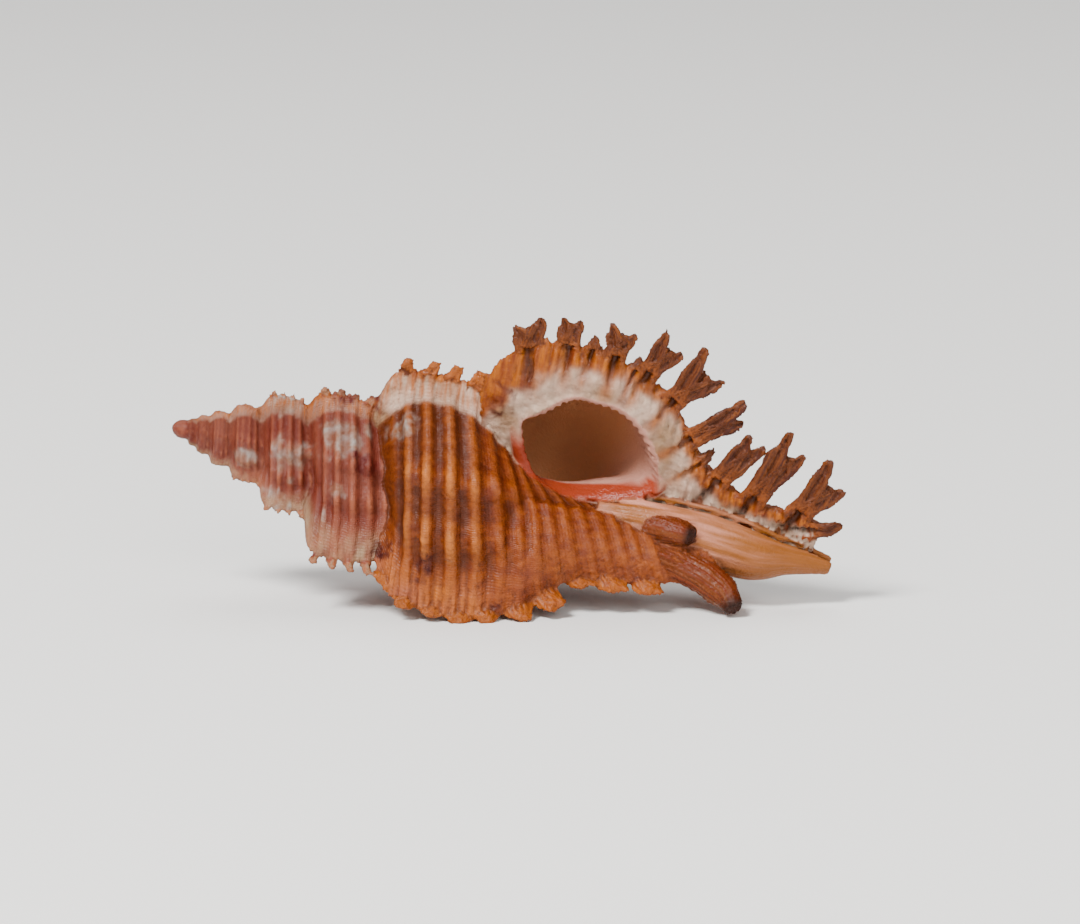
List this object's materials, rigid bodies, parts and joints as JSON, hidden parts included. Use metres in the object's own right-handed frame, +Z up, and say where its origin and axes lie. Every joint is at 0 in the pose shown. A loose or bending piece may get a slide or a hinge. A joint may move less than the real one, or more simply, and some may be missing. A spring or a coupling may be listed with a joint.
{
  "type": "murex shell",
  "caption": "Spiral sea shell with a tall spire, frilled flanges, forked fronds round the mouth and a slit canal.",
  "frame": {"origin": "middle of the bounding box's bottom, on the surface that the shell lies on", "axes": "+X from the apex to the tip of the canal, -Y out of the mouth, +Z up as it rests"},
  "size_m": [0.0904, 0.0374, 0.0406],
  "materials": {
    "shell": "aragonite shell, satin, orange brown and pink with cream patches, porcelain-smooth inside the mouth"
  },
  "bodies": {
    "root": {"shell": "shell"}
  },
  "joints": []
}
